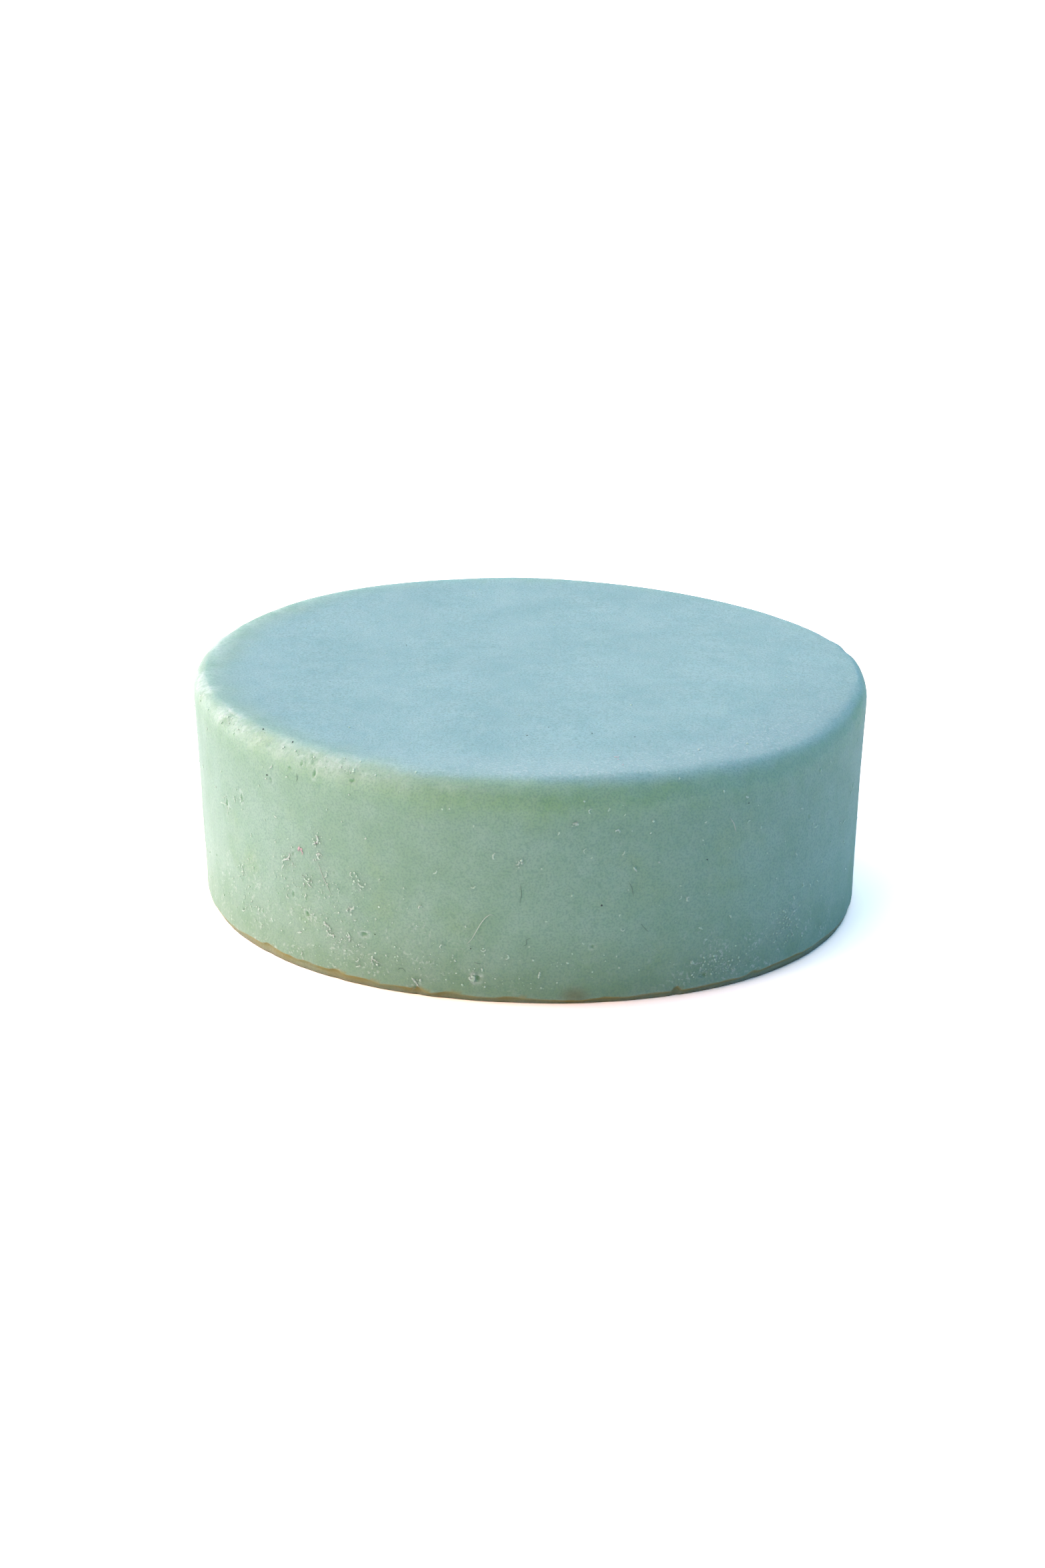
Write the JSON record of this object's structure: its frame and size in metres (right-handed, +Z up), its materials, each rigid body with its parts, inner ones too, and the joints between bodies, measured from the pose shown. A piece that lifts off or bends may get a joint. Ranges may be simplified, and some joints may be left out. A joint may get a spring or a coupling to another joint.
{
  "type": "shaving soap puck",
  "caption": "Round puck of hard shaving soap with a softly rounded top rim, a face that droops a little towards one side of it, a slightly tapered wall and an undercut edge around its flat base.",
  "frame": {"origin": "on the base, under the middle of the puck's outline", "axes": "+Z up through the puck's thickness; the lathering face is on top; +X and +Y lie across the base, with the side that the camera sees facing -Y"},
  "size_m": [0.0764, 0.0764, 0.0257],
  "materials": {
    "soap": "waxy satin, milky and slightly translucent pale green, with a dry bluish top face"
  },
  "bodies": {
    "root": {"soap_puck": "soap"}
  },
  "joints": []
}
